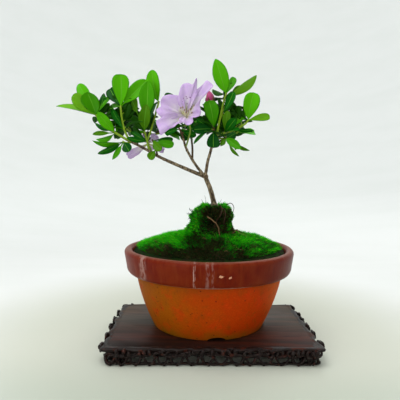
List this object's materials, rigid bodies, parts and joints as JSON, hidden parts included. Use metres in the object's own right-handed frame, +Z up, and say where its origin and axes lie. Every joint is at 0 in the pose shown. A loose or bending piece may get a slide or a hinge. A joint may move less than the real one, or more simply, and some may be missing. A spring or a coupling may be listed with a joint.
{
  "type": "satsuki azalea bonsai",
  "caption": "Flowering satsuki azalea bonsai: a slim leaning trunk on a mossed root base, forked boughs with leafy masses and lilac blossom, in a clay pot on a carved wood stand.",
  "frame": {"origin": "Bottom centre of the box round the whole model, on the level surface that the stand's feet rest on.", "axes": "+X to the right in the front view, +Y away from the viewer, +Z up. Seen from the front, the trunk leans to the left and the longest bough reaches to the left."},
  "size_m": [0.1862, 0.125, 0.2047],
  "materials": {
    "leaf": "fresh green leaves with a soft sheen and a paler midrib",
    "petal": "thin lilac petals, paler towards a yellow-green throat",
    "bark": "grey-brown bark with fine furrows and leaf scars",
    "moss": "tufted green moss",
    "soil": "dark granular potting soil",
    "glazed_clay": "orange clay body, with a dark red-brown drip glaze on the rim",
    "rosewood": "dark reddish-brown polished wood with a fine straight grain"
  },
  "bodies": {
    "root": {"bloom_front": "petal", "bloom_under": "petal", "bough_left": "bark", "bough_middle": "bark", "bough_right": "bark", "foliage_centre": "leaf", "foliage_centre_back": "leaf", "foliage_left_back": "leaf", "foliage_left_crown": "leaf", "foliage_left_fan": "leaf", "foliage_left_low": "leaf", "foliage_left_middle": "leaf", "foliage_left_tip": "leaf", "foliage_right_back": "leaf", "foliage_right_hub": "leaf", "foliage_right_low": "leaf", "foliage_right_side": "leaf", "foliage_right_top": "leaf", "moss_hummock": "moss", "moss_mound": "moss", "pot": "glazed_clay", "soil": "soil", "stand_board": "rosewood", "stand_foot_1": "rosewood", "stand_foot_2": "rosewood", "stand_foot_3": "rosewood", "stand_foot_4": "rosewood", "stand_side_back": "rosewood", "stand_side_front": "rosewood", "stand_side_left": "rosewood", "stand_side_right": "rosewood", "trunk": "bark"}
  },
  "joints": []
}
